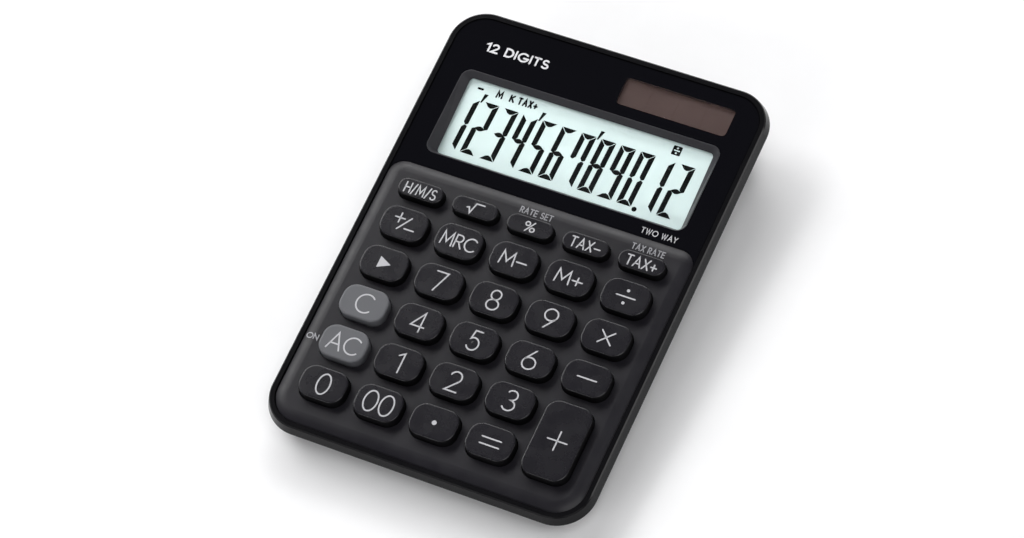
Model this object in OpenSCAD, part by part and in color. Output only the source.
// Desk calculator with a tilted display, solar and button-cell power and 29 keys.
// +Z up, +Y towards the display end, origin on the desk under the middle of the body. Millimetres.
// The face, the keys, the circuit board and every screw but one are square to the tilted face plane.

/* [Body] */
// Width of the body at its widest, along the parting line
body_w = 106.7; // [106:0.1:107.5]
// Length of the body along its sloping face, at the parting line
body_l = 150.8; // [150:0.1:152]
// Height of the back edge above the desk
body_h = 22.1; // [22:0.1:24]
// Slope of the face, in degrees
face_tilt = 4; // [3.8:0.1:4.2]
// Radius of the body's corners seen from above
body_corner_r = 12; // [11.5:0.5:13]
// Width of the raised rim around the face panels
rim_w = 1.8; // [1.7:0.05:2]
// How far the body's walls lean out between the rim and the parting line
wall_flare = 0.85; // [0.6:0.05:1]

/* [Keys] */
// Distance between key columns
key_pitch_x = 18.3; // [18:0.1:19]
// Distance between key rows
key_pitch_y = 14.2; // [14:0.1:14.6]
// Width of a key
key_w = 14.9; // [13.5:0.1:15]
// Length of a key
key_l = 10.6; // [9.5:0.1:10.6]
// Corner radius of a key
key_corner_r = 4.1; // [3.5:0.1:4.2]
// Length of a key in the function row
function_key_l = 5.9; // [5.4:0.1:6.2]
// Height of the bevel round a key's top
key_bevel = 0.6; // [0.4:0.1:0.8]
// Height of the keys above the keypad panel
key_stand = 2.9; // [2.5:0.1:3.2]
// Gap between a key and its opening
key_gap = 0.3; // [0.2:0.05:0.4]

/* [Display] */
// Width of the display opening in the glossy panel
bezel_w = 86.6; // [84:0.2:88]
// Length of the display opening in the glossy panel
bezel_l = 30.6; // [29:0.2:31]
// Width of the visible display
lcd_view_w = 81.3; // [78:0.1:82]
// Length of the visible display
lcd_view_l = 26.5; // [25:0.1:27]
// Slope of the display against the face, in degrees
lcd_tilt = 4; // [3:0.5:4.5]
// Width of the solar window
solar_w = 36.1; // [30:0.1:38]
// Length of the solar window
solar_l = 9.5; // [9:0.1:10.5]

/* [Battery] */
// Diameter of the button cell
cell_d = 11.6; // [11:0.1:11.6]
// Height of the button cell
cell_h = 3.05; // [2.6:0.05:3.1]

/* [Hidden] */
$fn = 64;
far = 300;                       // larger than the whole body, for cutting blocks
deep = 30;                       // taller than the body, for posts and wells cut off elsewhere

skirt_h = 3.4;                   // from the top of the rim down to the parting line
rim_bevel = 0.4;                 // bevel round the rim's outer top edge

// Face frame: z = 0 is the flat top of the rim
rim_outer_w = body_w - 2*wall_flare;
rim_outer_l = body_l - 2*wall_flare;
rim_outer_r = body_corner_r - wall_flare;
face_mid_z = body_h - (rim_outer_l/2 - rim_bevel)*sin(face_tilt);
face_shift_y = -skirt_h*sin(face_tilt);
seat_z = -1.6;                   // underside of both face panels, on the ledge of the top case
ledge_t = 1.2;
panel_gap = 0.25;                // groove between the rim and the panels
pocket_w = rim_outer_w - 2*rim_w;
pocket_l = rim_outer_l - 2*rim_w;
pocket_r = rim_outer_r - rim_w;
panel_w = pocket_w - 2*panel_gap;
panel_front_y = -pocket_l/2 + panel_gap;
panel_back_y = pocket_l/2 - panel_gap;
panel_corner_r = pocket_r - panel_gap;

// Keypad panel: a soft pillow that stands a little above the rim
pillow_top_z = 0.3;
pillow_back_y = 18.6;
pillow_back_r = 5;
pillow_drop = 0.8;
pillow_run = 3.6;
pillow_joint = 0.15;             // gap between the pillow and the display panel
display_top_z = -0.4;

// Bottom case
reveal = 0.25;                   // step from the top case in to the bottom case
bottom_slope = 26;               // the bottom case's walls lean in by this much, in degrees
bottom_wall = 1.8;
bottom_depth = 18.5;
floor_z = 1.2;                   // underside of the bottom case
floor_t = 1.8;

// Keys
key_top_z = pillow_top_z + key_stand;
flange_top_z = seat_z - 0.05;
flange_t = 0.8;
flange_rim = 0.8;
bevel_slope = 40;
stem_r = 2;
stem_end_z = -3.2;
row_3_y = -31.05;
function_row_y = 9.3;
tall_key_l = key_pitch_y + key_l;
function_key_r = function_key_l/2 - 0.1;
dark = [0.17, 0.17, 0.18];
grey = [0.40, 0.41, 0.43];
FUNCTION_KEYS = ["key_hms", "key_sqrt", "key_percent", "key_tax_minus", "key_tax_plus"];
KEY_ROWS = [
    ["key_sign", "key_mrc", "key_m_minus", "key_m_plus", "key_divide"],
    ["key_shift_right", "key_7", "key_8", "key_9", "key_multiply"],
    ["key_c", "key_4", "key_5", "key_6", "key_minus"],
    ["key_ac", "key_1", "key_2", "key_3"],
    ["key_0", "key_00", "key_point", "key_equals"],
];
// One entry a key: name, centre, size, corner radius, colour
KEYS = concat(
    [for (i = [0:4]) [FUNCTION_KEYS[i], [(i - 2)*key_pitch_x, function_row_y],
                      [key_w, function_key_l], function_key_r, dark]],
    [for (j = [0:4]) for (i = [0:len(KEY_ROWS[j]) - 1])
        [KEY_ROWS[j][i], [(i - 2)*key_pitch_x, row_3_y + (2 - j)*key_pitch_y],
         [key_w, key_l], key_corner_r, (i == 0 && (j == 2 || j == 3)) ? grey : dark]],
    [["key_plus", [2*key_pitch_x, row_3_y - 1.5*key_pitch_y], [key_w, tall_key_l], key_corner_r, dark]]
);

// Rubber keymat and circuit board
mat_z = -7.2;                    // top of the circuit board, underside of the keymat
mat_t = 0.8;
dome_base_r = 3.8;
dome_top_r = 2.6;
board_t = 1;
board_w = 92;
board_front_y = -65.6;
board_back_y = 20.8;
mat_w = 91;
mat_front_y = -65.3;
mat_back_y = 13.8;

// Screws: position on the face and height of the joint between the two bosses
CASE_SCREWS = [[-40, -68.3, -8.6], [40, -68.3, -8.6], [-40, 16.4, -9], [40, 16.4, -9], [0, 62, -9]];
screw_r = 0.95;
screw_l = 6;
screw_clamp = 1;
screw_head_r = 1.9;
screw_head_h = 1;
cross_w = 0.44;                  // width of the slots in a screw's cross recess
boss_r = 2.2;
boss_bore_r = 1;
boss_bore_l = 5.4;
post_r = 3.4;
post_well_r = 2.2;
post_hole_r = 1.3;
bar_y = 16.9;                    // cross bar of the top case, under the joint of the panels
bar_l = 5.4;
back_bar_y = 62;
back_bar_end_x = 3.9;
front_ledge_y = -66.2;
side_ledge = 1.5;

BOARD_SCREWS = [for (sx = [-1, 1]) for (k = [1.5, -0.5]) [sx*1.5*key_pitch_x, row_3_y + k*key_pitch_y]];
board_post_r = 1.8;
board_bore_r = 0.85;
board_screw_r = 0.8;
board_screw_l = 5;
board_head_r = 1.6;
board_head_h = 0.9;

// Display stack, in the display's own frame: z = 0 is the face of the clear window
lcd_y = 39.5;
lcd_z = -3.58;
bezel_y = 39.2;
bezel_r = 3.3;
window_t = 0.8;
glass_t = 1.1;
reflector_t = 0.3;
holder_floor = 1;
holder_depth = window_t + glass_t + reflector_t;

// Solar cell
solar_x = 24;
solar_y = 62.9;
solar_r = 1.4;
solar_cell_t = 0.9;

// Battery compartment in the floor of the bottom case
cell_x = -27;
cell_y = 38;
cell_z = 2.75;
cell_gap = 0.15;
cover_x = -22;
cover_w = 34;
cover_l = 20;
cover_t = 1.5;
cover_gap = 0.2;
pad_top_z = 4.6;
pocket_roof_z = 7.9;
cover_screw_x = -8.6;

// Feet and label
FEET_FRONT = [[-37, -60], [37, -60]];
FEET_REAR = [[-35, 58], [35, 58]];
foot_r = 5;
foot_recess = 0.8;
label_size = [40, 18];
label_pos = [19, 32];
label_recess = 0.3;
label_t = 0.2;

PARTS = ["bottom_case", "top_case", "keypad_panel", "display_panel", "lcd_bezel", "lcd_window", "lcd_glass",
    "lcd_reflector", "lcd_holder", "lcd_ribbon", "solar_window", "solar_cell", "solar_leads", "circuit_board",
    "rubber_keymat", "chip_cover", "board_capacitors", "board_screws", "battery_cell", "battery_contact_plus",
    "battery_contact_minus", "battery_leads", "battery_cover", "battery_cover_screw", "case_screws",
    "front_feet", "rear_feet", "rating_label"];

// ---- frames ----

module face_frame() {
    translate([0, face_shift_y, face_mid_z]) rotate([face_tilt, 0, 0]) children();
}

module parting_frame() {
    face_frame() translate([0, 0, -skirt_h]) children();
}

module lcd_frame() {
    face_frame() translate([0, lcd_y, lcd_z]) rotate([lcd_tilt, 0, 0]) children();
}

// ---- shared shapes ----

// Rectangle from y0 to y1 with corner radii rf at the front and rb at the back
module panel_outline(w, y0, y1, rf, rb) {
    translate([-w/2, y0 + rf]) square([w, y1 - rb - y0 - rf]);
    for (end = [[y0, y0 + rf, rf], [y1 - rb, y1 - rb, rb]]) {
        if (end[2] > 0) {
            translate([-w/2 + end[2], end[0]]) square([w - 2*end[2], end[2]]);
            for (sx = [-1, 1]) translate([sx*(w/2 - end[2]), end[1]]) circle(end[2]);
        }
    }
}

module rounded_block(w, l, h, r) {
    linear_extrude(h) panel_outline(w, -l/2, l/2, r, r);
}

// Section through a slab's edge, from the corner's centre out: the top falls by drop over run on an arc
module edge_section(r, h, drop, run) {
    arc_r = (run*run + drop*drop)/(2*drop);
    square([r - run, h]);
    square([r, h - drop]);
    intersection() {
        translate([r - run, 0]) square([run, h]);
        translate([r - run, h - arc_r]) circle(arc_r, $fn = 128);
    }
}

// Slab with a softened top edge and corner radii rf at the front and rb at the back
module soft_panel(w, y0, y1, h, rf, rb, drop, run) {
    rm = max(rf, rb);
    side_l = y1 - rb - y0 - rf;
    for (sx = [-1, 1]) {
        for (end = [[y0 + rf, rf], [y1 - rb, rb]])
            translate([sx*(w/2 - end[1]), end[0], 0]) rotate_extrude() edge_section(end[1], h, drop, run);
        translate([sx*(w/2 - rm), y1 - rb, 0]) rotate([90, 0, 0]) linear_extrude(side_l)
            mirror([sx < 0 ? 1 : 0, 0]) edge_section(rm, h, drop, run);
    }
    translate([-w/2 + rf, y0 + rf, 0]) rotate([90, 0, 90]) linear_extrude(w - 2*rf)
        mirror([1, 0]) edge_section(rf, h, drop, run);
    translate([-w/2 + rb, y1 - rb, 0]) rotate([90, 0, 90]) linear_extrude(w - 2*rb)
        edge_section(rb, h, drop, run);
    translate([-w/2 + rm, y0 + rf, 0]) cube([w - 2*rm, side_l, h]);
}

// Block whose walls lean in on the way down from z = 0
module tapered_block(w, l, r, depth, slope) {
    inset = depth*tan(slope);
    for (sx = [-1, 1], sy = [-1, 1])
        translate([sx*(w/2 - r), sy*(l/2 - r), -depth]) cylinder(h = depth, r1 = r - inset, r2 = r);
    translate([-w/2 + r, 0, 0]) rotate([90, 0, 90]) linear_extrude(w - 2*r)
        polygon([[-l/2, 0], [-l/2 + inset, -depth], [l/2 - inset, -depth], [l/2, 0]]);
    translate([0, l/2 - r, 0]) rotate([90, 0, 0]) linear_extrude(l - 2*r)
        polygon([[-w/2, 0], [-w/2 + inset, -depth], [w/2 - inset, -depth], [w/2, 0]]);
}

// Half space above z, or below it
module above(z) {
    translate([-far/2, -far/2, z]) cube([far, far, far]);
}

module below(z) {
    translate([-far/2, -far/2, z - far]) cube([far, far, far]);
}

// Round wire through a list of points
module wire(points, d) {
    for (i = [0:len(points) - 2]) {
        run = points[i + 1] - points[i];
        length = norm(run);
        translate(points[i]) rotate([0, acos(run[2]/length), atan2(run[1], run[0])])
            cylinder(h = length, d = d);
    }
    for (i = [1:len(points) - 2]) translate(points[i]) sphere(d = 1.2*d);
}

// Screw pointing up from the underside of its head, which is at z = 0
module screw(r, l, head_r, head_h) {
    difference() {
        union() {
            cylinder(h = l, r = r);
            translate([0, 0, -head_h]) cylinder(h = head_h, r = head_r);
        }
        for (a = [0, 90]) rotate([0, 0, a]) translate([-head_r*0.6, -cross_w/2, -head_h - 1])
            cube([head_r*1.2, cross_w, 1.5]);
    }
}

// ---- keys ----

module key(k) {
    size = k[2];
    flange_size = size + [2*flange_rim, 2*flange_rim];
    bottom_z = flange_top_z - flange_t;
    color(k[4]) face_frame() translate([k[1][0], k[1][1], 0]) {
        translate([0, 0, bottom_z]) rounded_block(size[0], size[1], key_top_z - key_bevel - bottom_z, k[3]);
        translate([0, 0, key_top_z - key_bevel]) rotate([180, 0, 0])
            tapered_block(size[0], size[1], k[3], key_bevel, bevel_slope);
        translate([0, 0, bottom_z])
            rounded_block(flange_size[0], flange_size[1], flange_t, k[3] + flange_rim);
        translate([0, 0, stem_end_z]) cylinder(h = bottom_z - stem_end_z + 0.2, r = stem_r);
        if (k[0] == "key_5") translate([0, -1, key_top_z - 0.3]) cylinder(h = 0.5, r = 0.5);
    }
}

// ---- cases and face panels ----

// Rim, skirt and ledge as one ring
module top_ring() {
    wall_h = skirt_h - rim_bevel;
    face_frame() difference() {
        union() {
            translate([0, 0, -skirt_h]) rotate([180, 0, 0])
                tapered_block(body_w, body_l, body_corner_r, wall_h, atan(wall_flare/wall_h));
            translate([0, 0, -rim_bevel]) rotate([180, 0, 0])
                tapered_block(rim_outer_w, rim_outer_l, rim_outer_r, rim_bevel, 45);
        }
        translate([0, 0, seat_z]) rounded_block(pocket_w, pocket_l, far, pocket_r);
        translate([0, 0, seat_z - ledge_t - far]) rounded_block(pocket_w, pocket_l, far, pocket_r);
        translate([0, 0, seat_z - ledge_t - 1]) linear_extrude(far) panel_outline(pocket_w - 2*side_ledge,
            front_ledge_y, pocket_l/2 - side_ledge, 3, pocket_r - side_ledge);
    }
}

module top_case() {
    bar_z = seat_z - ledge_t;
    color([0.12, 0.12, 0.13]) difference() {
        union() {
            top_ring();
            face_frame() {
                translate([-pocket_w/2 + 0.5, bar_y - bar_l/2, bar_z]) cube([pocket_w - 1, bar_l, ledge_t]);
                translate([-pocket_w/2 + 0.5, back_bar_y - bar_l/2, bar_z])
                    cube([pocket_w/2 - 0.5 + back_bar_end_x, bar_l, ledge_t]);
                for (s = CASE_SCREWS) translate(s) cylinder(h = seat_z - ledge_t/2 - s[2], r = boss_r);
            }
        }
        face_frame() for (s = CASE_SCREWS)
            translate(s - [0, 0, 1]) cylinder(h = boss_bore_l + 1, r = boss_bore_r);
    }
}

module keypad_panel() {
    color([0.20, 0.20, 0.21]) face_frame() difference() {
        union() {
            translate([0, 0, seat_z]) soft_panel(panel_w, panel_front_y, pillow_back_y, pillow_top_z - seat_z,
                panel_corner_r, pillow_back_r, pillow_drop, pillow_run);
            for (s = BOARD_SCREWS)
                translate([s[0], s[1], mat_z]) cylinder(h = seat_z - mat_z + 0.2, r = board_post_r);
        }
        for (k = KEYS) translate([k[1][0], k[1][1], seat_z - 0.5])
            rounded_block(k[2][0] + 2*key_gap, k[2][1] + 2*key_gap, 4, k[3] + key_gap);
        for (s = BOARD_SCREWS)
            translate([s[0], s[1], mat_z - 1]) cylinder(h = board_screw_l, r = board_bore_r);
    }
}

module display_panel() {
    pillow_w = panel_w + 2*pillow_joint;
    color([0.03, 0.03, 0.04]) face_frame() difference() {
        translate([0, 0, seat_z]) linear_extrude(display_top_z - seat_z)
            panel_outline(panel_w, pillow_back_y - pillow_back_r, panel_back_y, 0, panel_corner_r);
        translate([0, 0, seat_z - 1]) linear_extrude(4)
            panel_outline(pillow_w, 0, pillow_back_y + pillow_joint, 0, pillow_back_r + pillow_joint);
        translate([0, bezel_y, seat_z - 1]) rounded_block(bezel_w, bezel_l, 4, bezel_r);
        translate([solar_x, solar_y, seat_z - 1]) rounded_block(solar_w, solar_l, 4, solar_r);
    }
}

// Hollow of the bottom case: its walls lean in on the way down from z = 0, parallel to the outer ones
module bottom_hollow(w, l, r) {
    rise = tan(bottom_slope);
    hull() for (z = [0.2, -bottom_depth]) translate([0, 0, z]) linear_extrude(0.01)
        panel_outline(w + 2*rise*z, -l/2 - rise*z, l/2 + rise*z, r + rise*z, r + rise*z, $fn = 32);
}

module bottom_shell() {
    outer_w = body_w - 2*reveal;
    outer_l = body_l - 2*reveal;
    outer_r = body_corner_r - reveal;
    difference() {
        parting_frame() tapered_block(outer_w, outer_l, outer_r, bottom_depth, bottom_slope);
        intersection() {
            parting_frame()
                bottom_hollow(outer_w - 2*bottom_wall, outer_l - 2*bottom_wall, outer_r - bottom_wall);
            above(floor_z + floor_t);
        }
    }
}

module bottom_case() {
    color([0.10, 0.10, 0.11]) difference() {
        intersection() {
            union() {
                bottom_shell();
                face_frame() for (s = CASE_SCREWS)
                    translate([s[0], s[1], s[2] - deep]) cylinder(h = deep, r = post_r);
                translate([cover_x, cell_y, floor_z + 0.1])
                    rounded_block(cover_w + 6, cover_l + 6, pad_top_z - floor_z - 0.1, 4);
                translate([cell_x, cell_y, pad_top_z - 0.5])
                    cylinder(h = pocket_roof_z + 1 - pad_top_z + 0.5, r = cell_d/2 + cell_gap + 1.4);
                translate([cover_screw_x, cell_y, pad_top_z - 0.5]) cylinder(h = 4.5, r = 2.4);
                face_frame() for (x = [-20, 20], y = [-55, -25, 4])
                    translate([x, y, mat_z - board_t - deep]) cylinder(h = deep - 0.1, r = 1.5);
            }
            above(floor_z);
        }
        face_frame() for (s = CASE_SCREWS) {
            translate([s[0], s[1], s[2] - deep]) cylinder(h = deep - screw_clamp, r = post_well_r);
            translate([s[0], s[1], s[2] - 3]) cylinder(h = 6, r = post_hole_r);
        }
        translate([cover_x, cell_y, -1]) rounded_block(cover_w, cover_l, floor_z + cover_t + 1, 2);
        translate([cell_x, cell_y, 0]) cylinder(h = pocket_roof_z, r = cell_d/2 + cell_gap);
        translate([cell_x + cell_d/2 - 1, cell_y - 2.3, floor_z + cover_t])
            cube([2.2, 4.6, pocket_roof_z + 3]);
        translate([cell_x - 1.3, cell_y - 5, pocket_roof_z - 0.5]) cube([2.6, 3, 4]);
        translate([cover_screw_x, cell_y, 0]) cylinder(h = 8, r = 0.75);
        for (p = concat(FEET_FRONT, FEET_REAR))
            translate([p[0], p[1], -1]) cylinder(h = floor_z + foot_recess + 1, r = foot_r);
        translate([label_pos[0], label_pos[1], -1])
            rounded_block(label_size[0] + 1, label_size[1] + 1, floor_z + label_recess + 1, 1.5);
    }
}

// ---- display ----

module lcd_bezel() {
    color([0.22, 0.22, 0.24]) difference() {
        face_frame() {
            translate([0, bezel_y, -deep/2])
                rounded_block(bezel_w - 0.1, bezel_l - 0.1, deep/2 + display_top_z, bezel_r - 0.05);
            translate([0, bezel_y, seat_z - 0.7]) rounded_block(bezel_w + 3.4, bezel_l + 3, 0.7, 4);
        }
        lcd_frame() below(0);
        hull() {
            face_frame() translate([0, bezel_y, display_top_z - 0.01]) linear_extrude(0.1)
                panel_outline(bezel_w - 0.5, -bezel_l/2 + 0.25, bezel_l/2 - 0.25, 3.1, 3.1, $fn = 32);
            lcd_frame() translate([0, 0, -0.1]) linear_extrude(0.12)
                panel_outline(lcd_view_w, -lcd_view_l/2, lcd_view_l/2, 1.2, 1.2, $fn = 32);
        }
    }
}

module lcd_window() {
    color([0.85, 0.92, 0.92, 0.4]) lcd_frame() translate([0, 0, -window_t])
        rounded_block(lcd_view_w + 3.7, lcd_view_l + 3, window_t, 0.6);
}

module lcd_glass() {
    color([0.81, 0.88, 0.88]) lcd_frame() translate([0, -0.6, -window_t - glass_t])
        rounded_block(lcd_view_w + 2.7, lcd_view_l + 3, glass_t, 0.3);
}

module lcd_reflector() {
    color([0.75, 0.78, 0.78]) lcd_frame() translate([0, 0.8, -holder_depth])
        rounded_block(lcd_view_w + 1.7, lcd_view_l + 0.2, reflector_t, 0.3);
}

module lcd_holder() {
    holder_h = holder_depth + holder_floor;
    color([0.75, 0.75, 0.72]) lcd_frame() difference() {
        translate([0, -0.3, -holder_h]) rounded_block(lcd_view_w + 6.7, lcd_view_l + 6.4, holder_h, 1.5);
        translate([0, -0.3, -holder_depth]) rounded_block(lcd_view_w + 4.1, lcd_view_l + 4, far, 0.8);
        translate([-32, -lcd_view_l/2 - 6, -holder_h - 1]) cube([64, 6.5, holder_floor + reflector_t + 1]);
    }
}

// Flat flexible cable from the front edge of the display glass to the back edge of the board
module lcd_ribbon() {
    ribbon_w = 60;
    ribbon_t = 0.2;
    glass_y = lcd_y - lcd_view_l/2 - 1.7;
    glass_z = lcd_z - (window_t + glass_t)*cos(lcd_tilt) + (glass_y - lcd_y)*tan(lcd_tilt) - 0.05;
    color([0.62, 0.45, 0.20]) face_frame() translate([-ribbon_w/2, 0, 0]) rotate([90, 0, 90])
        linear_extrude(ribbon_w) polygon([
            [board_back_y - 1.6, mat_z], [board_back_y + 0.3, mat_z], [glass_y, glass_z - ribbon_t],
            [glass_y + 1.2, glass_z - ribbon_t + 1.2*tan(lcd_tilt)],
            [glass_y + 1.2, glass_z + 1.2*tan(lcd_tilt)],
            [glass_y - 0.2, glass_z - 0.2*tan(lcd_tilt)], [board_back_y + 0.2, mat_z + ribbon_t],
            [board_back_y - 1.6, mat_z + ribbon_t]]);
}

// ---- power ----

module solar_window() {
    color([0.30, 0.27, 0.27]) face_frame() translate([solar_x, solar_y, seat_z])
        rounded_block(solar_w - 0.1, solar_l - 0.1, display_top_z - seat_z, solar_r - 0.05);
}

module solar_cell() {
    color([0.20, 0.14, 0.14]) face_frame() translate([solar_x, solar_y, seat_z - solar_cell_t])
        rounded_block(solar_w + 1.9, solar_l + 1.9, solar_cell_t, 0.3);
}

module solar_leads() {
    under_cell = seat_z - solar_cell_t - 0.5;
    under_board = mat_z - board_t - 0.5;
    color([0.65, 0.10, 0.10]) face_frame() for (x = [26, 30])
        wire([[x, 64, under_cell], [x, 59.6, under_cell], [x, 56, -10.5], [x, 26, -11], [x, 18, under_board]],
             1);
}

module battery_cell() {
    color([0.75, 0.75, 0.76]) translate([cell_x, cell_y, cell_z]) {
        cylinder(h = cell_h - 0.5, d = cell_d);
        cylinder(h = cell_h, d = cell_d - 2.4);
    }
}

module battery_contact_plus() {
    side_x = cell_x + cell_d/2 + 0.02;
    color([0.78, 0.76, 0.70]) {
        translate([side_x, cell_y - 2, cell_z + 0.3]) cube([0.3, 4, pocket_roof_z + 0.9 - cell_z]);
        translate([side_x, cell_y - 2, pocket_roof_z + 1.1]) cube([3, 4, 0.3]);
    }
}

module battery_contact_minus() {
    cell_top = cell_z + cell_h;
    color([0.78, 0.76, 0.70]) translate([cell_x, cell_y, 0]) {
        translate([-2, -4.6, pocket_roof_z - 0.35]) cube([4, 8, 0.3]);
        translate([0, 0, cell_top]) cylinder(h = pocket_roof_z - 0.2 - cell_top, r = 0.9);
        translate([-1, -4.6, pocket_roof_z - 0.35]) cube([2, 0.3, 2]);
    }
}

module battery_leads() {
    color([0.10, 0.10, 0.45]) {
        wire([[cell_x, cell_y - 5.05, pocket_roof_z + 1.6], [cell_x + 3, 19, 9]], 0.9);
        wire([[cell_x + 8.9, cell_y - 2.45, pocket_roof_z + 1.6], [cell_x + 12, 19, 9]], 0.9);
    }
}

module battery_cover() {
    color([0.10, 0.10, 0.11]) difference() {
        translate([cover_x, cell_y, floor_z])
            rounded_block(cover_w - 2*cover_gap, cover_l - 2*cover_gap, cover_t, 1.8);
        translate([cover_screw_x, cell_y, 0]) cylinder(h = 5, r = 1);
        translate([cover_screw_x, cell_y, 0]) cylinder(h = floor_z + 0.8, r = 1.9);
        for (i = [0:3]) translate([cover_x - 13 + 2*i, cell_y - 6, 0]) cube([0.8, 12, floor_z + 0.3]);
    }
}

module battery_cover_screw() {
    color([0.55, 0.55, 0.57]) translate([cover_screw_x, cell_y, floor_z + 0.8]) screw(0.7, 5, 1.6, 0.7);
}

// ---- electronics ----

module circuit_board() {
    color([0.10, 0.35, 0.16]) face_frame() difference() {
        translate([0, 0, mat_z - board_t]) linear_extrude(board_t)
            panel_outline(board_w, board_front_y, board_back_y, 3, 2);
        for (s = CASE_SCREWS) translate([s[0], s[1], -12]) cylinder(h = 8, r = boss_r + 0.4);
        for (s = BOARD_SCREWS) translate([s[0], s[1], -12]) cylinder(h = 8, r = board_bore_r + 0.2);
    }
}

module rubber_keymat() {
    color([0.55, 0.56, 0.56]) face_frame() difference() {
        union() {
            translate([0, 0, mat_z]) linear_extrude(mat_t)
                panel_outline(mat_w, mat_front_y, mat_back_y, 2, 2);
            for (k = KEYS) translate([k[1][0], k[1][1], mat_z + mat_t])
                cylinder(h = stem_end_z - mat_z - mat_t, r1 = dome_base_r, r2 = dome_top_r);
        }
        for (s = BOARD_SCREWS) translate([s[0], s[1], mat_z - 1]) cylinder(h = 4, r = board_post_r + 0.4);
    }
}

module chip_cover() {
    dome_h = 1.6;
    dome_r = 12;
    color([0.05, 0.05, 0.05]) face_frame() translate([0, -10, mat_z - board_t]) intersection() {
        translate([0, 0, dome_r - dome_h]) sphere(dome_r, $fn = 200);
        below(0);
    }
}

module board_capacitors() {
    color([0.12, 0.16, 0.30]) face_frame() for (x = [-8, 0, 8])
        translate([x, 9, mat_z - board_t - 4.5]) cylinder(h = 4.5, r = 2);
}

module board_screws() {
    color([0.60, 0.60, 0.62]) face_frame() for (s = BOARD_SCREWS)
        translate([s[0], s[1], mat_z - board_t])
            screw(board_screw_r, board_screw_l, board_head_r, board_head_h);
}

module case_screws() {
    color([0.30, 0.30, 0.32]) face_frame() for (s = CASE_SCREWS)
        translate([s[0], s[1], s[2] - screw_clamp]) screw(screw_r, screw_l, screw_head_r, screw_head_h);
}

// ---- underside ----

module feet(places) {
    color([0.08, 0.08, 0.08]) for (p = places) translate([p[0], p[1], 0]) {
        translate([0, 0, 0.4]) cylinder(h = floor_z + foot_recess - 0.4, r = foot_r - 0.1);
        cylinder(h = 0.4, r1 = foot_r - 0.5, r2 = foot_r - 0.1);
    }
}

module rating_label() {
    color([0.70, 0.70, 0.68]) translate([label_pos[0], label_pos[1], floor_z + label_recess - label_t])
        rounded_block(label_size[0], label_size[1], label_t, 1);
}

for (k = KEYS) key(k);
bottom_case();
top_case();
keypad_panel();
display_panel();
lcd_bezel();
lcd_window();
lcd_glass();
lcd_reflector();
lcd_holder();
lcd_ribbon();
solar_window();
solar_cell();
solar_leads();
circuit_board();
rubber_keymat();
chip_cover();
board_capacitors();
board_screws();
battery_cell();
battery_contact_plus();
battery_contact_minus();
battery_leads();
battery_cover();
battery_cover_screw();
case_screws();
feet(FEET_FRONT);  // front_feet
feet(FEET_REAR);  // rear_feet
rating_label();
